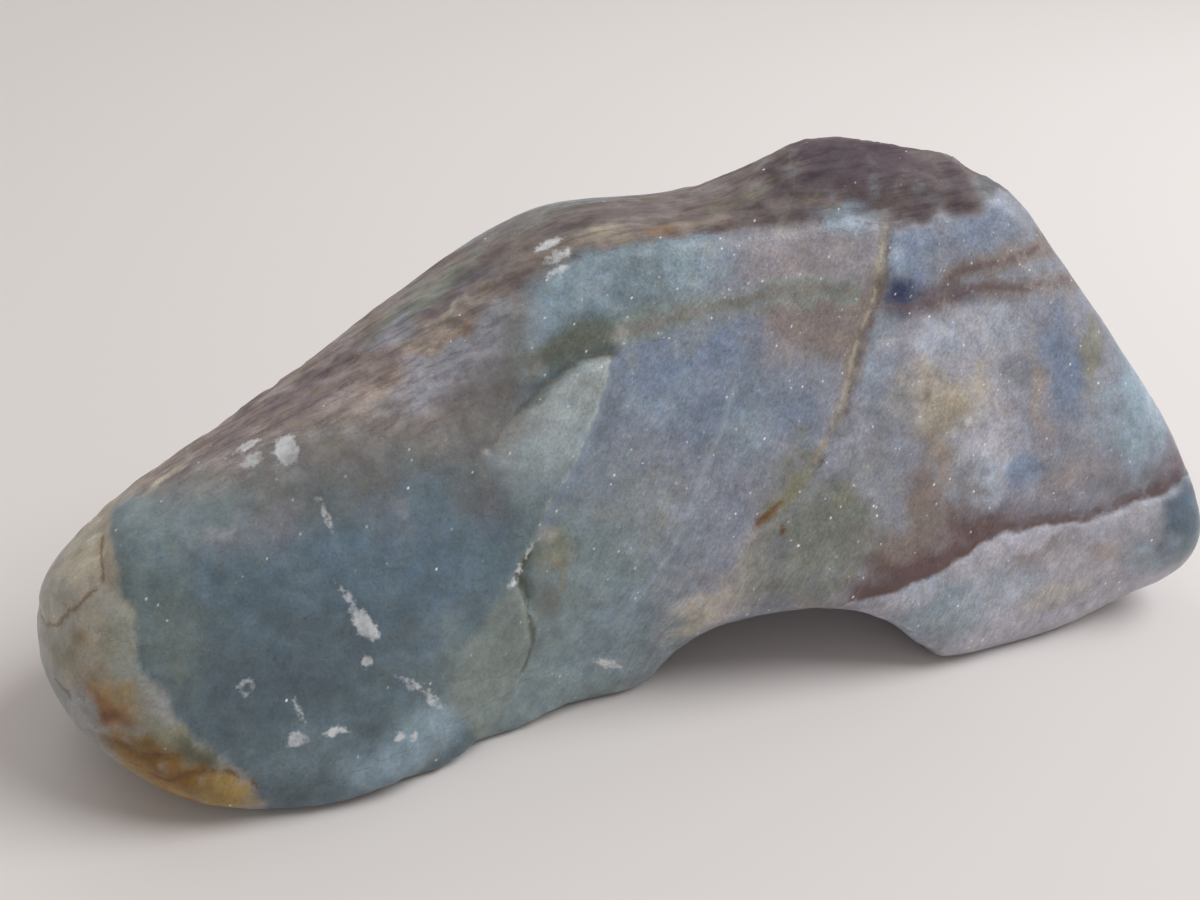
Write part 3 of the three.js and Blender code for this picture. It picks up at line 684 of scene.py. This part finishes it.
# Crisp line cores: colour, distance name, centre, half width, edge, strength, breaks.
lineCores = [
    ("veinBrown", "lowerVein", 0.18, 0.2, 0.25, 0.65, 0.38),
    ("deepRust", "lowerVein", 0.0, 0.02, 0.10, 0.6, 0.48),
    ("veinBrown", "upperVein", 0.0, 0.08, 0.30, 0.65, 0.41),
    ("veinBrown", "upperVeinTwin", 0.0, 0.07, 0.25, 0.65, 0.42),
    ("cream", "seam", 0.0, 0.03, 0.14, 0.5, 0.44), ("veinBrown", "seam", 0.36, 0.03, 0.16, 0.6, 0.48),
    ("brown", "seam", -0.4, 0.04, 0.18, 0.6, 0.50), ("rustBrown", "seamEnd", 0.0, 0.03, 0.14, 0.75, 0.50),
    ("ice", "paleDiagonal", 0.0, 0.05, 0.25, 0.4, 0.38),
    ("rustBrown", "leafTop", 0.0, 0.02, 0.10, 0.5, 0.48),
    # Painted highlight and shadow at the panel's broken edge: a cream rim on the raised side, a slate line
    # on the stepped-down side.
    ("cream", "panelEdge", -0.12, 0.02, 0.09, 0.35, 0.47),
    ("slate", "panelEdge", 0.1, 0.04, 0.14, 0.5, 0.44),
    # Painted shade: dark green along the foot of the scar rim, on the stepped-down side.
    ("darkGreen", "scarRim", 0.10, 0.10, 0.22, 0.9, 0.38),
    ("olive", "scarRim", -0.12, 0.03, 0.12, 0.6, 0.46),
    ("rustBrown", "noseCrease", 0.0, 0.02, 0.11, 0.65, 0.34),
    ("deepRust", "noseLedge", 0.0, 0.05, 0.18, 0.6, 0.46),
    ("deepRust", "noseFold", 0.0, 0.04, 0.2, 0.7, 0.42),
    ("darkPurple", "stripEdge", 0.0, 0.04, 0.2, 0.5, 0.50),
    ("veinBrown", "backVein", 0.0, 0.06, 0.25, 0.7, 0.42),
    ("cream", "backSeam", 0.0, 0.03, 0.14, 0.5, 0.44),
    ("darkGreen", "backLedge", 0.08, 0.04, 0.16, 0.7, 0.40),
]


# Small wrapper that keeps the finish readable: each call adds one node and returns its output.
class Finish:
    def __init__(self, name):
        self.material = bpy.data.materials.new(name)
        self.material.use_nodes = True
        self.nodes, self.links = self.material.node_tree.nodes, self.material.node_tree.links
        self.surface = self.nodes["Principled BSDF"]

    def put(self, source, socket):
        if isinstance(source, bpy.types.NodeSocket):
            self.links.new(source, socket)
        else:
            socket.default_value = source

    def value(self, name):
        node = self.nodes.new("ShaderNodeAttribute")
        node.attribute_name = name
        return node.outputs["Fac"]

    def colour(self, name):
        node = self.nodes.new("ShaderNodeAttribute")
        node.attribute_name = name
        return node.outputs["Color"]

    def grain(self, size, detail, stretch=1, tilt=0, shift=0):  # shift keeps patterns apart
        kinds = ("ShaderNodeTexCoord", "ShaderNodeMapping", "ShaderNodeTexNoise")
        where, turn, noise = (self.nodes.new(kind) for kind in kinds)
        turn.vector_type = "TEXTURE"
        turn.inputs["Location"].default_value = (shift / 100, 0, 0)
        turn.inputs["Rotation"].default_value = (0, -math.radians(tilt), 0)
        turn.inputs["Scale"].default_value = (size * stretch / 1000, size / 1000, size / 1000)
        noise.inputs["Scale"].default_value, noise.inputs["Roughness"].default_value = 1, 0.67
        noise.inputs["Detail"].default_value = detail
        self.put(where.outputs["Object"], turn.inputs["Vector"])
        self.put(turn.outputs["Vector"], noise.inputs["Vector"])
        return noise.outputs["Fac"]

    def spread(self, value, fromLow, fromHigh, toLow=0, toHigh=1):
        node = self.nodes.new("ShaderNodeMapRange")
        for socket, source in zip(("Value", "From Min", "From Max", "To Min", "To Max"),
                                  (value, fromLow, fromHigh, toLow, toHigh)):
            self.put(source, node.inputs[socket])
        return node.outputs["Result"]

    def combine(self, operation, first, second=0.0):
        node = self.nodes.new("ShaderNodeMath")
        node.operation = operation
        self.put(first, node.inputs[0])
        self.put(second, node.inputs[1])
        return node.outputs[0]

    def times(self, colour, factors):
        node = self.nodes.new("ShaderNodeVectorMath")
        node.operation = "MULTIPLY"
        self.put(colour, node.inputs[0])
        self.put(factors, node.inputs[1])
        return node.outputs["Vector"]

    def shade(self, colour, amount):
        node = self.nodes.new("ShaderNodeVectorMath")
        node.operation = "SCALE"
        self.put(colour, node.inputs[0])
        self.put(amount, node.inputs["Scale"])
        return node.outputs["Vector"]

    def cover(self, under, over, mask):
        node = self.nodes.new("ShaderNodeMix")
        node.data_type = "RGBA"
        self.put(mask, node.inputs["Factor"])
        self.put(under, node.inputs["A"])
        self.put(over, node.inputs["B"])
        return node.outputs["Result"]


def makeJade(setup):
    jade = Finish("waterWornJade")
    cloud, mottle, grain = (jade.grain(*setup[name][:2], shift=place)
                            for place, name in enumerate(("cloud", "mottle", "grain")))
    colour = jade.colour("stoneTint")
    for noise, name in ((cloud, "cloud"), (mottle, "mottle"), (grain, "grain")):
        colour = jade.shade(colour, jade.spread(noise, 0.3, 0.7, 1 - setup[name][2], 1 + setup[name][2]))

    # drifts of warm and cool, pale wisps, and fibres rising through the sugary part
    for name, factors, stretch in (("warm", (1.16, 1.04, 0.76), 1), ("cool", (0.82, 0.99, 1.14), 1.5),
                                   ("wisp", (1.32, 1.32, 1.34), 2.5)):
        size, detail, strength = setup[name]
        drift = jade.grain(size, detail, stretch, setup["driftTilt"], 24)
        drift = jade.spread(drift, 0.52, 0.70, 0, strength)
        colour = jade.cover(colour, jade.times(colour, factors), drift)
    sugar = jade.value("sugar")
    size, detail, strength = setup["fibre"]
    fibre = jade.grain(size, detail, 8, setup["fibreTilt"], 41)
    fibre = jade.spread(fibre, 0.35, 0.65, -strength, strength)
    colour = jade.shade(colour, jade.combine("ADD", jade.combine("MULTIPLY", fibre, sugar), 1.0))

    # layered streaks of the brown strip, rising with the slope and then level
    layers, allStrip = 0.0, 0.0
    for name, tilt in (("slopeStrip", setup["slopeTilt"]), ("levelStrip", setup["levelTilt"])):
        strip = jade.value(name)
        streak = jade.grain(*setup["streak"][:2], 6, tilt, 51)
        dark = jade.combine("MULTIPLY", strip, jade.spread(streak, 0.47, 0.60, 0, setup["streak"][2]))
        colour = jade.cover(colour, jade.times(colour, (0.60, 0.56, 0.58)), dark)
        speck = jade.grain(*setup["paleStreak"][:2], 3, tilt, 61)
        pale = jade.combine("MULTIPLY", strip, jade.spread(speck, 0.57, 0.70, 0, setup["paleStreak"][2]))
        colour = jade.cover(colour, jade.times(colour, (1.45, 1.40, 1.35)), pale)
        layers = jade.combine("ADD", jade.combine("MULTIPLY", strip, streak), layers)
        allStrip = jade.combine("ADD", allStrip, strip)

    # line cores with a wandering, broken edge
    wander = jade.spread(jade.grain(0.5, 5, shift=71), 0.25, 0.75, -0.09, 0.09)
    breaks = jade.grain(1.1, 4, shift=81)
    for name, line, centre, half, edge, strength, gap in lineCores:
        place = jade.combine("ADD", jade.value(line), wander)
        offset = jade.combine("ABSOLUTE", jade.combine("SUBTRACT", place, centre))
        unbroken = jade.spread(breaks, gap, gap + 0.1)
        mask = jade.combine("MULTIPLY", jade.spread(offset, half + edge, half), unbroken)
        colour = jade.cover(colour, (*paintOf(name), 1), jade.combine("MULTIPLY", mask, strength))

    # chalk flecks with ragged edges and thin places
    crumbs = jade.spread(jade.grain(0.35, 4, shift=91), 0.25, 0.75, -0.17, 0.17)
    ragged = jade.combine("ADD", jade.value("flecks"), crumbs)
    thin = jade.spread(mottle, 0.36, 0.6, 0.4, 0.95)
    chalk = jade.combine("MULTIPLY", jade.spread(ragged, 0.08, -0.08), thin)
    colour = jade.cover(colour, (*paintOf("chalk"), 1), chalk)

    # painted glints: white dots in the base colour stand for the light glinting off the sugary crystals,
    # each cell with its own brightness
    cells = jade.nodes.new("ShaderNodeTexVoronoi")
    drawnOut = jade.nodes.new("ShaderNodeMapping")
    drawnOut.vector_type = "TEXTURE"
    drawnOut.inputs["Rotation"].default_value = (0, -math.radians(setup["fibreTilt"]), 0)
    cellSize = setup["paintedGlintSize"] / 1000
    drawnOut.inputs["Scale"].default_value = (cellSize * setup["paintedGlintStretch"], cellSize, cellSize)
    jade.put(jade.nodes.new("ShaderNodeTexCoord").outputs["Object"], drawnOut.inputs["Vector"])
    jade.put(drawnOut.outputs["Vector"], cells.inputs["Vector"])
    cells.inputs["Scale"].default_value = 1
    cellShade = jade.nodes.new("ShaderNodeSeparateColor")
    jade.put(cells.outputs["Color"], cellShade.inputs["Color"])
    cluster = jade.combine("MULTIPLY", sugar, jade.spread(mottle, 0.46, 0.62, 0.01, 0.42))
    chosen = jade.combine("LESS_THAN", cellShade.outputs["Red"], cluster)
    dot = jade.spread(cells.outputs["Distance"], 0.32, 0.12)
    shine = jade.combine("POWER", cellShade.outputs["Green"], 3.2)
    paintedSparkle = jade.combine("MULTIPLY", jade.combine("MULTIPLY", dot, chosen), shine)
    paintedGlint = jade.combine("MULTIPLY", paintedSparkle, setup["paintedGlintStrength"])
    colour = jade.cover(colour, (1.0, 1.0, 1.0, 1), paintedGlint)
    jade.put(colour, jade.surface.inputs["Base Color"])

    satin = jade.spread(grain, 0.3, 0.7, setup["roughLow"], setup["roughHigh"])
    satin = jade.combine("ADD", satin, jade.combine("MULTIPLY", allStrip, setup["stripRough"]))
    satin = jade.combine("ADD", satin, jade.combine("MULTIPLY", chalk, setup["chalkRough"]))
    jade.put(satin, jade.surface.inputs["Roughness"])
    jade.put(setup["subsurface"], jade.surface.inputs["Subsurface Weight"])
    jade.put(setup["subsurfaceReach"] / 1000, jade.surface.inputs["Subsurface Scale"])
    jade.put(setup["subsurfaceTint"], jade.surface.inputs["Subsurface Radius"])
    jade.put(setup["refraction"], jade.surface.inputs["IOR"])
    jade.put(setup["specular"], jade.surface.inputs["Specular IOR Level"])
    bump = jade.nodes.new("ShaderNodeBump")
    jade.put(setup["bumpStrength"], bump.inputs["Strength"])
    jade.put(setup["bumpHeight"] / 1000, bump.inputs["Distance"])
    rough = jade.combine("ADD", grain, jade.combine("MULTIPLY", mottle, 1.8))
    jade.put(jade.combine("ADD", rough, jade.combine("MULTIPLY", layers, -3.0)), bump.inputs["Height"])
    jade.put(bump.outputs["Normal"], jade.surface.inputs["Normal"])
    return jade.material


stone.data.materials.clear()
stone.data.materials.append(makeJade(jadeStone))
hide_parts("jade_stone")
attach(stone, bodyName)
print("stone finished,", sum(len(face.vertices) - 2 for face in stone.data.polygons), "triangles")
